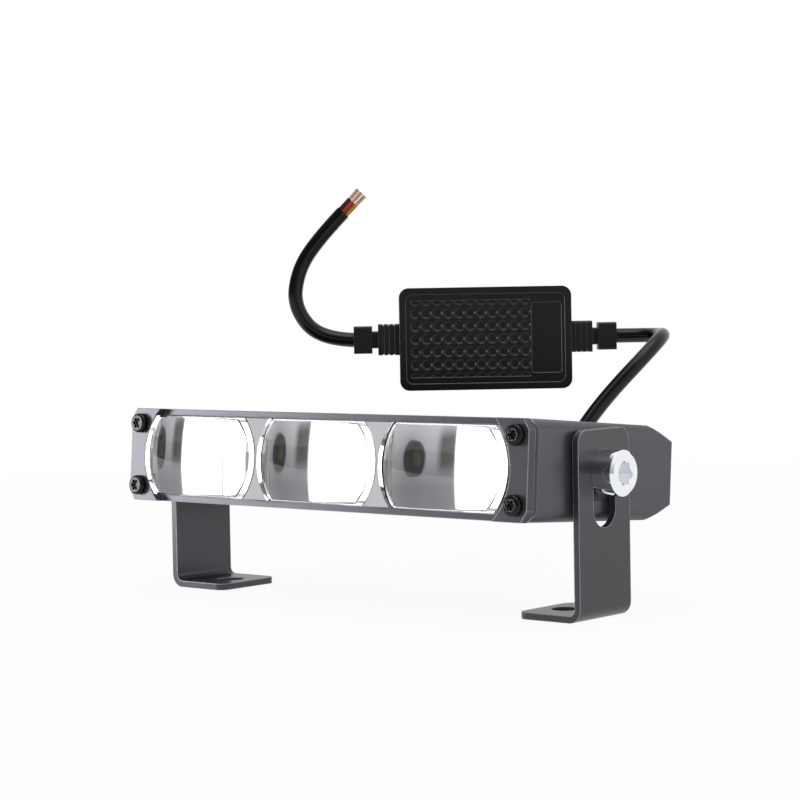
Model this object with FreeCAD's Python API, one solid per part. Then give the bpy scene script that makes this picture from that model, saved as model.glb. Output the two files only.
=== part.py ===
"""Grille auxiliary driving light: a slim three-lens lamp on two slotted L-brackets.

Millimetres, +Z up. The lamp is drawn level, with its pivot axis on the X axis and its
front towards -Y. It is then tipped to its aim about that axis and lifted to its height
over the bracket feet, which stand on z = 0. The driver box and its leads are drawn in
place. Last, the part is centred on its own footprint.
"""
import FreeCAD
import Part
import math
import os

V = FreeCAD.Vector
X_AXIS = V(1, 0, 0)
Y_AXIS = V(0, 1, 0)
Z_AXIS = V(0, 0, 1)

# Driving dimensions: lamp body
LAMP_HEIGHT = 28.5
BODY_DEPTH = 66.0          # housing front edge to its rear
AXIS_BACK = 28.7           # housing front edge to the pivot axis
BODY_DRAFT = 0.6           # how much each face leans in towards the rear
REAR_CHAMFER_Y = 11.0
REAR_CHAMFER_Z = 4.5
CAP_THICKNESS = 11.5
CAP_ROUND = 3.4            # radius along the cap's long outer edges
CAP_EDGE_X = 0.9           # bevel behind the clamp plate
CAP_EDGE_Y = 1.5
RAIL = 1.95                # wall above and below the lens window
WEB = 5.0                  # solid metal behind the chamber
FIN_DEPTH = 8.7
FIN_SLOT = 2.4
FIN_PITCH = 4.2
FIN_SLOTS = 6

# Driving dimensions: optics
LENS_HALF_WIDTH = 23.25
LENS_GAP = 1.1             # between neighbouring lenses at their widest
LENS_ARC = 18.5
FLANGE_ARC = 26.0          # flatter than the lens, so ears stand out at the corners
FLANGE = 2.0
LENS_RIM = 2.0             # flat rim beside the dome
LENS_RIM_TOP = 0.5
DOME_RADIUS = 42.0         # across the lens
DOME_RADIUS_UP = 62.0      # up and down, so the dome is a piece of a barrel
LENS_STEP = 1.4            # step of the lens's rear block
LENS_REAR = 6.4            # length of the rear block
RIM_PROUD = 0.3            # lens rim in front of the clamp plates
GASKET = 0.8
CUP_INSET = 4.25           # edge of the lens to the wall of its cup
CUP_WALL = 1.2
TRAY_LEDGE = 2.0           # depth of the tray's wide front behind the lens
LED_WINDOW = 10.8          # half width of the opening in each cup's floor
LED_WINDOW_HEIGHT = 9.0    # and its half height
BOARD = 1.6
BOARD_END_GAP = 2.0        # board to the end cap
PAD = 0.5
EMITTER_RADIUS = 1.9
EMITTER_HEIGHT = 1.6
CHIP = 1.4
CHIP_HEIGHT = 0.4

# Driving dimensions: clamp plates and screws
PLATE = 3.0
PLATE_ARC = 20.5
PLATE_BEVEL_X = 2.0
PLATE_BEVEL_Z = 3.2
PLATE_GAP = 0.45           # lens row to the middle of the concave edge
PLATE_WAIST = 6.2          # concave edge to the end of the lamp
PLATE_SCREW_IN = 2.0       # concave edge to the screws
PLATE_SCREW_EDGE = 4.65    # screws to the top and bottom
SCREW_RADIUS = 1.5
SCREW_LENGTH = 11.0
SCREW_HEAD_RADIUS = 3.0
SCREW_HEAD = 2.1
SCREW_ROUND = 0.4          # share of a pan head's height that is rounded
SCREW_LOBE = 0.62          # radius of one lobe of the six-lobe recess
SCREW_LOBE_RING = 1.15
BOARD_SCREW_RADIUS = 1.25
BOARD_SCREW_HEAD_RADIUS = 2.25
BOARD_SCREW_HEAD = 1.5
BOARD_SCREW_LENGTH = 6.0
BOARD_SCREW_EDGE = 4.6     # screws to the edge of the board

# Driving dimensions: pivots and brackets
BOLT_RADIUS = 4.0
BOLT_GRIP = 8.0            # thread inside the end cap
HEAD_RADIUS = 6.5
HEAD_HEIGHT = 7.2
HEAD_BEVEL = 0.8
HEX_FLATS = 6.0
HEX_DEPTH = 4.0
HEX_LEAD_IN = 0.7          # cone at the socket's mouth
BUSH_FLANGE_RADIUS = 8.0
BUSH_FLANGE = 0.6
SHEET = 2.0
BRACKET_WIDTH = 24.4
BRACKET_TOP = 12.3         # leg above the pivot axis
CORNER = 4.0
BEND = 4.0                 # outside radius of the fold
FOOT = 22.0                # leg's outer face to the tip of the foot
FOOT_CORNER = 3.0
FOOT_HOLE_RADIUS = 4.25
FOOT_HOLE_IN = 8.0         # tip of the foot to the hole
SLOT_RADIUS = 5.3
SLOT_UP = 1.3              # slot's upper arc centre above the axis
SLOT_DOWN = 10.1
AXIS_HEIGHT = 41.3         # pivot axis over the ground
AIM_UP = 4.5               # degrees the lamp looks up

# Driving dimensions: driver box and leads
DRIVER_WIDTH = 56.4
DRIVER_HEIGHT = 33.6
DRIVER_DEPTH = 15.0
DRIVER_SPLIT = 9.0         # depth of the front shell
DRIVER_WALL = 1.6
DRIVER_CORNER = 3.2
DRIVER_RIM = 2.2
FACE_CORNER = 2.2
DRIVER_FACE_STEP = 0.5
PANEL_WIDTH = 9.8
PANEL_HEIGHT = 23.0
PANEL_IN = 3.3             # panel to the edge of the box
PANEL_STEP = 0.5
PANEL_CORNER = 0.8
DIMPLE_RADIUS = 1.7
DIMPLE_FLOOR = 1.25        # radius of a dimple's flat floor
DIMPLE_DEPTH = 0.4
DIMPLE_PITCH_X = 3.6
DIMPLE_PITCH_Z = 4.2
DIMPLE_COLUMNS = 11
DIMPLE_ROWS = 7            # the first and last are cut in half
DIMPLES_IN = 3.5           # edge of the box to the dimples
DRIVER_TURN = 40.3         # degrees about the vertical
DRIVER_CENTRE = V(-21.2, 75.7, 77.0)
DRIVER_BOARD = 1.6
CHOKE_RADIUS = 4.2
CHOKE_HEIGHT = 5.0
CAPACITOR_RADIUS = 2.5
CAPACITOR_HEIGHT = 4.5
LEAD_RADIUS = 2.4
RELIEF_BASE = 7.0
RELIEF_BASE_HEIGHT = 10.2
RELIEF_NECK = 2.0
RELIEF_NECK_HEIGHT = 5.6
RELIEF_END = 6.0
RELIEF_END_HEIGHT = 9.0
RELIEF_FLAT = 1.0          # how much less deep than high each block is
RELIEF_ROUND = 0.8
RELIEF_GROOVE = 0.5        # width of the moulded grooves
RELIEF_GROOVE_DEPTH = 0.3
RELIEF_GROOVES = 3
GLAND_X = 20.0
GLAND_RADIUS = 6.5
GLAND_TAIL_RADIUS = 3.8
GLAND_TAPER = 1.0
GLAND_NUT = 5.0
GLAND_TAIL = 9.0
CORE_RADIUS = 0.72
CORE_STEP = 1.36           # between cores, side by side
CORE_BACK = 0.7            # how far the outer cores lie behind the middle one
CORE_RUN = 2.3             # each core's straight run, then its leaning run
CORE_LEAN = 0.06
STRAND_RADIUS = 0.64
STRAND_LENGTH = 4.2
GLAND_RUN = 3.0            # straight lead beyond the gland's tail
BEND_SHARE = 0.45          # share of the shorter run that a bend takes up

# Driving dimensions: corners of the leads, in the box's axes from the root of each relief
LAMP_ROUTE = ((4.3, -31.1, -23.6), (28.0, -26.0, 0.3), (30.0, 0.0, 0.0))
POWER_START = 12.0         # inside the relief's end block
POWER_ROUTE = ((25.6, 0.0), (34.7, 10.9), (33.1, 23.4), (26.0, 33.8), (17.8, 42.2))

# Clearances
SLIDE_GAP = 0.05           # flat faces that turn or slide on each other
RUNNING_FIT = 0.05         # radial, bush on bolt
SLOT_FIT = 0.1             # radial, bush in slot
SEAT_GAP = 0.15            # lens and trim beside their neighbours
WINDOW_GAP = 0.2           # lens row under the rails
HOLE_GAP = 0.1             # radial, screws through plates
RECESS_GAP = 0.3           # radial, pockets round screw heads and the gland

# Worked-out places in the lamp's own axes
LENS_PITCH = 2 * LENS_HALF_WIDTH + LENS_GAP
PLATE_ARC_X = LENS_PITCH + LENS_HALF_WIDTH + PLATE_GAP
PLATE_SCREW_X = PLATE_ARC_X + PLATE_SCREW_IN
HALF_LENGTH = PLATE_ARC_X + PLATE_WAIST
HALF_HEIGHT = LAMP_HEIGHT / 2
PLATE_SCREW_Z = HALF_HEIGHT - PLATE_SCREW_EDGE
HOUSING_HALF = HALF_LENGTH - CAP_THICKNESS
FRONT = -AXIS_BACK
REAR = FRONT + BODY_DEPTH
WINDOW_HALF = HALF_HEIGHT - RAIL
ROW_HALF = WINDOW_HALF - WINDOW_GAP
BOARD_HALF = HOUSING_HALF - BOARD_END_GAP
BOARD_SCREW_Z = ROW_HALF - BOARD_SCREW_EDGE
PLATE_FRONT = FRONT - PLATE
LENS_RIM_Y = PLATE_FRONT - RIM_PROUD
FLANGE_FRONT = FRONT + GASKET
FLANGE_REAR = FLANGE_FRONT + FLANGE
LENS_BACK = FLANGE_REAR + LENS_REAR
TRAY_SHOULDER = LENS_BACK + TRAY_LEDGE
WEB_REAR = REAR - FIN_DEPTH
CHAMBER_REAR = WEB_REAR - WEB
PAD_FRONT = CHAMBER_REAR - PAD
BOARD_FRONT = PAD_FRONT - BOARD
CUP_HALF = LENS_HALF_WIDTH - CUP_INSET
TRAY_HALF = LENS_PITCH + CUP_HALF + CUP_WALL
CUP_HALF_HEIGHT = ROW_HALF - LENS_STEP
LENS_XS = (-LENS_PITCH, 0.0, LENS_PITCH)
LENS_NAMES = ("left", "centre", "right")
SPACER_XS = (-LENS_PITCH / 2, LENS_PITCH / 2)
SIDES = (("left", -1), ("right", 1))
BUSH_X = HALF_LENGTH + SLIDE_GAP
LEG_IN = BUSH_X + BUSH_FLANGE + SLIDE_GAP
LEG_OUT = LEG_IN + SHEET
HEAD_X = LEG_OUT + SLIDE_GAP


def prism(points, along):
    """A straight prism: the closed outline pushed along a vector."""
    return Part.Face(Part.makePolygon(list(points) + [points[0]])).extrude(along)


def box(x0, x1, y0, y1, z0, z1):
    return Part.makeBox(x1 - x0, y1 - y0, z1 - z0, V(x0, y0, z0))


def rod(start, axis, radius, length):
    return Part.makeCylinder(radius, length, start, axis)


def barrel(centre_x, half_width, half_height, arc, y0, y1):
    """A prism along Y: straight top and bottom, bulging ends of one radius."""
    sag = arc - math.sqrt(arc ** 2 - half_height ** 2)
    corner = half_width - sag
    p = [V(centre_x + sx * corner, y0, sz * half_height) for sx, sz in ((-1, -1), (1, -1), (1, 1), (-1, 1))]
    edges = [
        Part.makeLine(p[0], p[1]),
        Part.Arc(p[1], V(centre_x + half_width, y0, 0), p[2]).toShape(),
        Part.makeLine(p[2], p[3]),
        Part.Arc(p[3], V(centre_x - half_width, y0, 0), p[0]).toShape(),
    ]
    return Part.Face(Part.Wire(edges)).extrude(V(0, y1 - y0, 0))


def lens_body(centre_x, y0, y1, gap=0.0):
    """The lens's own outline, with a gap round its ends."""
    return barrel(centre_x, LENS_HALF_WIDTH + gap, ROW_HALF, LENS_ARC + gap, y0, y1)


def rounded_plate(width, height, radius, depth):
    """A plate in XZ centred on the origin, its front at y = 0, with round corners."""
    plate = box(-width / 2, width / 2, 0, depth, -height / 2, height / 2)
    corners = [e for e in plate.Edges if abs(e.tangentAt(e.FirstParameter).y) > 0.99]
    return plate.makeFillet(radius, corners)


def mirrored(shape, side):
    """The right-hand piece as drawn, or its mirror image on the left."""
    return shape if side > 0 else shape.mirror(V(0, 0, 0), X_AXIS)


# Housing: the body's side outline pushed along X, with a chamber and rear fins
def side_outline(x):
    """Outline of the lamp from the side: slight draft, big chamfers at the rear."""
    top_rear = HALF_HEIGHT - BODY_DRAFT
    chamfer_y = REAR - REAR_CHAMFER_Y
    half = [(FRONT, HALF_HEIGHT), (chamfer_y, top_rear), (REAR, top_rear - REAR_CHAMFER_Z)]
    upper = [V(x, y, z) for y, z in half]
    lower = [V(x, y, -z) for y, z in reversed(half)]
    return upper + lower


def make_housing():
    body = prism(side_outline(-HOUSING_HALF), V(2 * HOUSING_HALF, 0, 0))
    cuts = [box(-HOUSING_HALF, HOUSING_HALF, FRONT, CHAMBER_REAR, -WINDOW_HALF, WINDOW_HALF)]
    for i in range(FIN_SLOTS):
        z = (i - (FIN_SLOTS - 1) / 2) * FIN_PITCH
        cuts.append(box(-HOUSING_HALF, HOUSING_HALF, WEB_REAR, REAR, z - FIN_SLOT / 2, z + FIN_SLOT / 2))
    cuts.append(rod(V(GLAND_X, WEB_REAR, 0), Y_AXIS, GLAND_RADIUS + RECESS_GAP, REAR - WEB_REAR))
    cuts.append(rod(V(GLAND_X, CHAMBER_REAR, 0), Y_AXIS, LEAD_RADIUS, WEB))
    for x in SPACER_XS:
        for z in (-BOARD_SCREW_Z, BOARD_SCREW_Z):
            depth = BOARD_SCREW_LENGTH - BOARD - PAD
            cuts.append(rod(V(x, CHAMBER_REAR, z), Y_AXIS, BOARD_SCREW_RADIUS, depth))
    return body.cut(cuts)


# End caps: the same side outline, rounded along the outer edges
def cap_outline(y):
    """Face of the right-hand end seen from the front, with rounded outer corners."""
    x0 = HALF_LENGTH - CAP_ROUND
    z0 = HALF_HEIGHT - CAP_ROUND
    x1 = x0 + CAP_ROUND * math.sqrt(0.5)
    z1 = z0 + CAP_ROUND * math.sqrt(0.5)
    low = [V(HOUSING_HALF, y, -HALF_HEIGHT), V(x0, y, -HALF_HEIGHT), V(x1, y, -z1), V(HALF_LENGTH, y, -z0)]
    high = [V(p.x, y, -p.z) for p in reversed(low)]
    edges = [Part.makeLine(low[0], low[1]), Part.Arc(*low[1:]).toShape(), Part.makeLine(low[3], high[0]),
             Part.Arc(*high[:3]).toShape(), Part.makeLine(high[2], high[3]), Part.makeLine(high[3], low[0])]
    return Part.Face(Part.Wire(edges))


def row_half_width(half_width):
    return LENS_PITCH + half_width


def make_end_cap():
    body = prism(side_outline(HOUSING_HALF), V(CAP_THICKNESS, 0, 0))
    body = body.common(cap_outline(FRONT).extrude(V(0, BODY_DEPTH, 0)))
    corner = [V(HALF_LENGTH - CAP_EDGE_X, FRONT, -HALF_HEIGHT), V(HALF_LENGTH, FRONT, -HALF_HEIGHT),
              V(HALF_LENGTH, FRONT + CAP_EDGE_Y, -HALF_HEIGHT)]
    edge = prism(corner, V(0, 0, LAMP_HEIGHT))
    row = row_half_width(LENS_HALF_WIDTH) + SEAT_GAP
    chamber = barrel(0, row, WINDOW_HALF, LENS_ARC + SEAT_GAP, FRONT, TRAY_SHOULDER + SEAT_GAP)
    ears = barrel(0, row + SEAT_GAP, WINDOW_HALF, FLANGE_ARC, FRONT, FLANGE_REAR)
    pocket = box(HOUSING_HALF, TRAY_HALF + SEAT_GAP, TRAY_SHOULDER, BOARD_FRONT + SEAT_GAP,
                 -WINDOW_HALF, WINDOW_HALF)
    thread = rod(V(HALF_LENGTH - BOLT_GRIP, 0, 0), X_AXIS, BOLT_RADIUS, BOLT_GRIP)
    cuts = [edge, chamber, pocket, ears, thread]
    for z in (-PLATE_SCREW_Z, PLATE_SCREW_Z):
        depth = SCREW_LENGTH - PLATE
        cuts.append(rod(V(PLATE_SCREW_X, FRONT, z), Y_AXIS, SCREW_RADIUS, depth))
    return body.cut(cuts)


# Clamp plates: half a bow tie, hollowed to the lens's curve
def make_clamp_plate():
    tips = PLATE_ARC_X - PLATE_ARC
    low = [(tips, -HALF_HEIGHT), (HALF_LENGTH - PLATE_BEVEL_X, -HALF_HEIGHT),
           (HALF_LENGTH, PLATE_BEVEL_Z - HALF_HEIGHT)]
    high = [(x, -z) for x, z in reversed(low)]
    plate = prism([V(x, PLATE_FRONT, z) for x, z in low + high], V(0, PLATE, 0))
    cuts = [rod(V(tips, PLATE_FRONT, 0), Y_AXIS, PLATE_ARC, PLATE)]
    for z in (-PLATE_SCREW_Z, PLATE_SCREW_Z):
        cuts.append(rod(V(PLATE_SCREW_X, PLATE_FRONT, z), Y_AXIS, SCREW_RADIUS + HOLE_GAP, PLATE))
    solids = plate.cut(cuts).Solids
    return max(solids, key=lambda s: s.CenterOfMass.x)


def pan_screw(seat, radius, length, head_radius, head_height):
    """A pan-head screw into +Y: domed head with a six-lobe recess, plain shank."""
    head = rod(seat - Y_AXIS * head_height, Y_AXIS, head_radius, head_height)
    top = seat - Y_AXIS * head_height
    rim = [e for e in head.Edges if e.Length > head_radius and abs(e.CenterOfMass.y - top.y) < 1e-6]
    head = head.makeFillet(head_height * SCREW_ROUND, rim)
    recess = rod(top, Y_AXIS, SCREW_LOBE_RING, head_height / 2)
    for i in range(6):
        turn = math.radians(60 * i)
        lobe = V(math.cos(turn), 0, math.sin(turn)) * SCREW_LOBE_RING
        recess = recess.fuse(rod(top + lobe, Y_AXIS, SCREW_LOBE, head_height / 2))
    return head.cut(recess).fuse(rod(seat, Y_AXIS, radius, length)).removeSplitter()


def make_clamp_screws():
    seats = [V(PLATE_SCREW_X, PLATE_FRONT, z) for z in (-PLATE_SCREW_Z, PLATE_SCREW_Z)]
    return Part.makeCompound([
        pan_screw(seat, SCREW_RADIUS, SCREW_LENGTH, SCREW_HEAD_RADIUS, SCREW_HEAD) for seat in seats])


# Optics: lens with dome, rim, flange ears and rear block
def make_dome(x):
    """A barrel-shaped dome: an arc across the lens swept round an axis far behind it."""
    half = LENS_HALF_WIDTH - LENS_RIM
    apex = LENS_RIM_Y + math.sqrt(DOME_RADIUS ** 2 - half ** 2) - DOME_RADIUS
    inner = LENS_RIM_Y + FLANGE
    left = V(x - half, LENS_RIM_Y, 0)
    right = V(x + half, LENS_RIM_Y, 0)
    arc = Part.Arc(left, V(x, apex, 0), right).toShape()
    rest = Part.makePolygon([right, V(x + half, inner, 0), V(x - half, inner, 0), left])
    face = Part.Face(Part.Wire([arc] + rest.Edges))
    centre = V(x, apex + DOME_RADIUS_UP, 0)
    sweep = 2 * math.degrees(math.asin(ROW_HALF / DOME_RADIUS_UP))
    face.rotate(centre, X_AXIS, -sweep)
    column = barrel(x, half, ROW_HALF - LENS_RIM_TOP, LENS_ARC - LENS_RIM,
                    LENS_RIM_Y - DOME_RADIUS / 2, LENS_RIM_Y)
    return face.revolve(centre, X_AXIS, 2 * sweep).common(column)


def make_lens(x):
    body = lens_body(x, LENS_RIM_Y, FLANGE_REAR)
    flange = barrel(x, LENS_HALF_WIDTH + SEAT_GAP, ROW_HALF, FLANGE_ARC, FLANGE_FRONT, FLANGE_REAR)
    block = barrel(x, LENS_HALF_WIDTH - LENS_STEP, ROW_HALF - LENS_STEP, LENS_ARC - LENS_STEP,
                   FLANGE_REAR, LENS_BACK)
    return body.fuse([flange, block, make_dome(x)]).removeSplitter()


def hourglass(x, y0, y1):
    """What is left between two neighbouring lenses."""
    block = box(x - LENS_PITCH / 2, x + LENS_PITCH / 2, y0, y1, -ROW_HALF, ROW_HALF)
    sides = [lens_body(x + s * LENS_PITCH / 2, y0, y1, SEAT_GAP) for s in (-1, 1)]
    return block.cut(sides)


def make_gaskets():
    """Soft pads on the lens ears: two hourglasses and four corner slips."""
    pads = [hourglass(x, FRONT, FLANGE_FRONT) for x in SPACER_XS]
    ears = barrel(0, row_half_width(LENS_HALF_WIDTH) + SEAT_GAP, ROW_HALF, FLANGE_ARC, FRONT, FLANGE_FRONT)
    for name, side in SIDES:
        for z0, z1 in ((PLATE_SCREW_Z / 2, ROW_HALF), (-ROW_HALF, -PLATE_SCREW_Z / 2)):
            x0, x1 = sorted((side * LENS_PITCH, side * HALF_LENGTH))
            slip = ears.common(box(x0, x1, FRONT, FLANGE_FRONT, z0, z1))
            pads.append(slip.cut(lens_body(side * LENS_PITCH, FRONT, FLANGE_FRONT, SEAT_GAP)))
    return Part.makeCompound([solid for pad in pads for solid in pad.Solids])


def make_tray():
    """One moulded reflector: a wide front that seats the lenses, then three deep cups."""
    front = barrel(0, row_half_width(LENS_HALF_WIDTH), ROW_HALF, LENS_ARC, FLANGE_REAR, TRAY_SHOULDER)
    rear = box(-TRAY_HALF, TRAY_HALF, TRAY_SHOULDER, BOARD_FRONT, -ROW_HALF, ROW_HALF)
    floor = BOARD_FRONT - CUP_WALL
    cuts = []
    for x in LENS_XS:
        cuts.append(barrel(x, LENS_HALF_WIDTH - LENS_STEP + SEAT_GAP, CUP_HALF_HEIGHT + SEAT_GAP,
                           LENS_ARC - LENS_STEP + SEAT_GAP, FLANGE_REAR, LENS_BACK))
        cuts.append(box(x - CUP_HALF, x + CUP_HALF, LENS_BACK, floor, -CUP_HALF_HEIGHT, CUP_HALF_HEIGHT))
        cuts.append(box(x - LED_WINDOW, x + LED_WINDOW, floor, BOARD_FRONT,
                        -LED_WINDOW_HEIGHT, LED_WINDOW_HEIGHT))
    core = LENS_PITCH / 2 - CUP_HALF - CUP_WALL
    core_height = ROW_HALF - CUP_WALL
    for x in SPACER_XS:
        cuts.append(box(x - core, x + core, TRAY_SHOULDER, BOARD_FRONT, -core_height, core_height))
    return front.fuse(rear).cut(cuts).removeSplitter()


def make_board():
    board = box(-BOARD_HALF, BOARD_HALF, BOARD_FRONT, PAD_FRONT, -ROW_HALF, ROW_HALF)
    return board.cut(board_holes(BOARD_FRONT, PAD_FRONT, BOARD_SCREW_RADIUS))


def make_pad():
    pad = box(-BOARD_HALF, BOARD_HALF, PAD_FRONT, CHAMBER_REAR, -ROW_HALF, ROW_HALF)
    return pad.cut(board_holes(PAD_FRONT, CHAMBER_REAR, BOARD_SCREW_RADIUS))


def board_holes(y0, y1, radius):
    return [rod(V(x, y0, z), Y_AXIS, radius, y1 - y0)
            for x in SPACER_XS for z in (-BOARD_SCREW_Z, BOARD_SCREW_Z)]


def make_board_screws():
    return Part.makeCompound([
        pan_screw(V(x, BOARD_FRONT, z), BOARD_SCREW_RADIUS, BOARD_SCREW_LENGTH,
                  BOARD_SCREW_HEAD_RADIUS, BOARD_SCREW_HEAD)
        for x in SPACER_XS for z in (-BOARD_SCREW_Z, BOARD_SCREW_Z)])


def make_emitter(x):
    return rod(V(x, BOARD_FRONT - EMITTER_HEIGHT, 0), Y_AXIS, EMITTER_RADIUS, EMITTER_HEIGHT)


def make_chips():
    y1 = BOARD_FRONT - EMITTER_HEIGHT
    return Part.makeCompound([box(x - CHIP / 2, x + CHIP / 2, y1 - CHIP_HEIGHT, y1, -CHIP / 2, CHIP / 2)
                              for x in LENS_XS])


# Pivots: socket-head bolt, flanged bush, slotted bracket
def make_bolt():
    head = rod(V(HEAD_X, 0, 0), X_AXIS, HEAD_RADIUS, HEAD_HEIGHT)
    face_x = HEAD_X + HEAD_HEIGHT
    rim = [e for e in head.Edges if e.Length > HEAD_RADIUS and abs(e.CenterOfMass.x - face_x) < 1e-6]
    head = head.makeChamfer(HEAD_BEVEL, rim)
    reach = HEX_FLATS / math.sqrt(3)
    corners = [V(face_x, reach * math.cos(math.radians(60 * i)), reach * math.sin(math.radians(60 * i)))
               for i in range(6)]
    mouth = Part.makeCone(reach - HEX_LEAD_IN, reach, HEX_LEAD_IN, V(face_x - HEX_LEAD_IN, 0, 0), X_AXIS)
    head = head.cut([prism(corners, V(-HEX_DEPTH, 0, 0)), mouth])
    inner_x = HALF_LENGTH - BOLT_GRIP
    return head.fuse(rod(V(inner_x, 0, 0), X_AXIS, BOLT_RADIUS, HEAD_X - inner_x)).removeSplitter()


def make_bush():
    """Friction bush: a flange beside the cap and a boss that rides in the slot."""
    bush = rod(V(BUSH_X, 0, 0), X_AXIS, BUSH_FLANGE_RADIUS, BUSH_FLANGE)
    boss = rod(V(BUSH_X, 0, 0), X_AXIS, SLOT_RADIUS - SLOT_FIT, LEG_OUT - BUSH_X)
    bore = rod(V(BUSH_X, 0, 0), X_AXIS, BOLT_RADIUS + RUNNING_FIT, LEG_OUT - BUSH_X)
    return bush.fuse(boss).cut(bore).removeSplitter()


def make_bracket():
    """One folded sheet: rounded leg with a slot, foot turned in under the lamp."""
    half = BRACKET_WIDTH / 2
    ground = -AXIS_HEIGHT
    tip = LEG_OUT - FOOT
    fold = LEG_OUT - BEND
    s = math.sqrt(0.5)
    outer_mid = V(fold + BEND * s, -half, ground + BEND - BEND * s)
    inner = BEND - SHEET
    inner_mid = V(fold + inner * s, -half, ground + BEND - inner * s)
    p = [V(tip, -half, ground), V(fold, -half, ground), V(LEG_OUT, -half, ground + BEND),
         V(LEG_OUT, -half, BRACKET_TOP), V(LEG_IN, -half, BRACKET_TOP), V(LEG_IN, -half, ground + BEND),
         V(fold, -half, ground + SHEET), V(tip, -half, ground + SHEET)]
    edges = [Part.makeLine(p[0], p[1]), Part.Arc(p[1], outer_mid, p[2]).toShape(),
             Part.makeLine(p[2], p[3]), Part.makeLine(p[3], p[4]), Part.makeLine(p[4], p[5]),
             Part.Arc(p[5], inner_mid, p[6]).toShape(), Part.makeLine(p[6], p[7]),
             Part.makeLine(p[7], p[0])]
    sheet = Part.Face(Part.Wire(edges)).extrude(V(0, BRACKET_WIDTH, 0))
    short = [e for e in sheet.Edges if abs(e.Length - SHEET) < 1e-6]
    top_corners = [e for e in short if abs(e.CenterOfMass.z - BRACKET_TOP) < 1e-6]
    sheet = sheet.makeFillet(CORNER, top_corners)
    short = [e for e in sheet.Edges if abs(e.Length - SHEET) < 1e-6]
    tip_corners = [e for e in short if abs(e.CenterOfMass.x - tip) < 1e-6]
    sheet = sheet.makeFillet(FOOT_CORNER, tip_corners)
    cuts = [rod(V(LEG_IN, 0, z), X_AXIS, SLOT_RADIUS, SHEET) for z in (SLOT_UP, -SLOT_DOWN)]
    cuts.append(box(LEG_IN, LEG_OUT, -SLOT_RADIUS, SLOT_RADIUS, -SLOT_DOWN, SLOT_UP))
    cuts.append(rod(V(tip + FOOT_HOLE_IN, 0, ground), Z_AXIS, FOOT_HOLE_RADIUS, SHEET))
    return sheet.cut(cuts)


# Leads: straight runs joined by tangent arcs
def lead(name, points, radius):
    """A round lead along the points, its bends as wide as the runs allow."""
    edges = []
    start = points[0]
    length = 0.0
    for before, corner, after in zip(points, points[1:], points[2:]):
        along = (corner - before).normalize()
        onward = (after - corner).normalize()
        half_turn = along.getAngle(onward) / 2
        setback = BEND_SHARE * min((corner - before).Length, (after - corner).Length)
        bend = setback / math.tan(half_turn)
        arc_start = corner - along * setback
        arc_end = corner + onward * setback
        middle = corner + (onward - along).normalize() * (bend / math.cos(half_turn) - bend)
        edges += [Part.makeLine(start, arc_start), Part.Arc(arc_start, middle, arc_end).toShape()]
        start = arc_end
        print(name, "bend radius", round(bend, 1))
    edges.append(Part.makeLine(start, points[-1]))
    path = Part.Wire(edges)
    section = Part.Wire(Part.makeCircle(radius, points[0], (points[1] - points[0]).normalize()))
    tube = path.makePipeShell([section], True, False)
    fill = tube.Volume / (math.pi * radius ** 2 * path.Length)
    print(name, "length", round(path.Length, 1), "fill", round(fill, 3))
    return tube


def relief_block(x, length, height):
    """One block of a relief along X, its long edges rounded."""
    depth = height - RELIEF_FLAT
    block = box(x, x + length, -depth / 2, depth / 2, -height / 2, height / 2)
    long_edges = [e for e in block.Edges if abs(e.tangentAt(e.FirstParameter).x) > 0.99]
    return block.makeFillet(RELIEF_ROUND, long_edges)


def make_relief():
    """A moulded strain relief: grooved base, narrow neck and bored end block."""
    neck_x = DRIVER_WIDTH / 2 + RELIEF_BASE
    end_x = neck_x + RELIEF_NECK
    base = relief_block(DRIVER_WIDTH / 2, RELIEF_BASE, RELIEF_BASE_HEIGHT)
    pitch = RELIEF_BASE / (RELIEF_GROOVES + 1)
    for i in range(RELIEF_GROOVES):
        x = DRIVER_WIDTH / 2 + (i + 1) * pitch - RELIEF_GROOVE / 2
        around = relief_block(x, RELIEF_GROOVE, RELIEF_BASE_HEIGHT + 2 * RELIEF_GROOVE_DEPTH)
        kept = relief_block(x, RELIEF_GROOVE, RELIEF_BASE_HEIGHT - 2 * RELIEF_GROOVE_DEPTH)
        base = base.cut(around.cut(kept))
    neck = relief_block(neck_x, RELIEF_NECK, RELIEF_NECK_HEIGHT)
    end = relief_block(end_x, RELIEF_END, RELIEF_END_HEIGHT)
    bore = rod(V(end_x, 0, 0), X_AXIS, LEAD_RADIUS, RELIEF_END)
    return base.fuse([neck, end.cut(bore)]).removeSplitter()


def make_gland():
    """Rear cable gland: hexagon nut body and a tapered rubber tail, bored for the lead."""
    length = REAR - WEB_REAR
    body = rod(V(GLAND_X, WEB_REAR, 0), Y_AXIS, GLAND_RADIUS, length)
    corners = [V(GLAND_X + GLAND_RADIUS * math.cos(math.radians(60 * i)), REAR,
                 GLAND_RADIUS * math.sin(math.radians(60 * i))) for i in range(6)]
    nut = prism(corners, V(0, GLAND_NUT, 0))
    root = GLAND_TAIL_RADIUS + GLAND_TAPER
    tail = Part.makeCone(root, GLAND_TAIL_RADIUS, GLAND_TAIL, V(GLAND_X, REAR + GLAND_NUT, 0), Y_AXIS)
    bore = rod(V(GLAND_X, WEB_REAR, 0), Y_AXIS, LEAD_RADIUS, length + GLAND_NUT + GLAND_TAIL)
    return body.fuse([nut, tail]).cut(bore).removeSplitter()


# Driver box: two shells round a board, drawn at the origin with its face towards -Y
def driver_inside(depth):
    """A plate that fills the inside of the box's walls."""
    inner = 2 * DRIVER_WALL
    return rounded_plate(DRIVER_WIDTH - inner, DRIVER_HEIGHT - inner, DRIVER_CORNER - DRIVER_WALL, depth)


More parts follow.
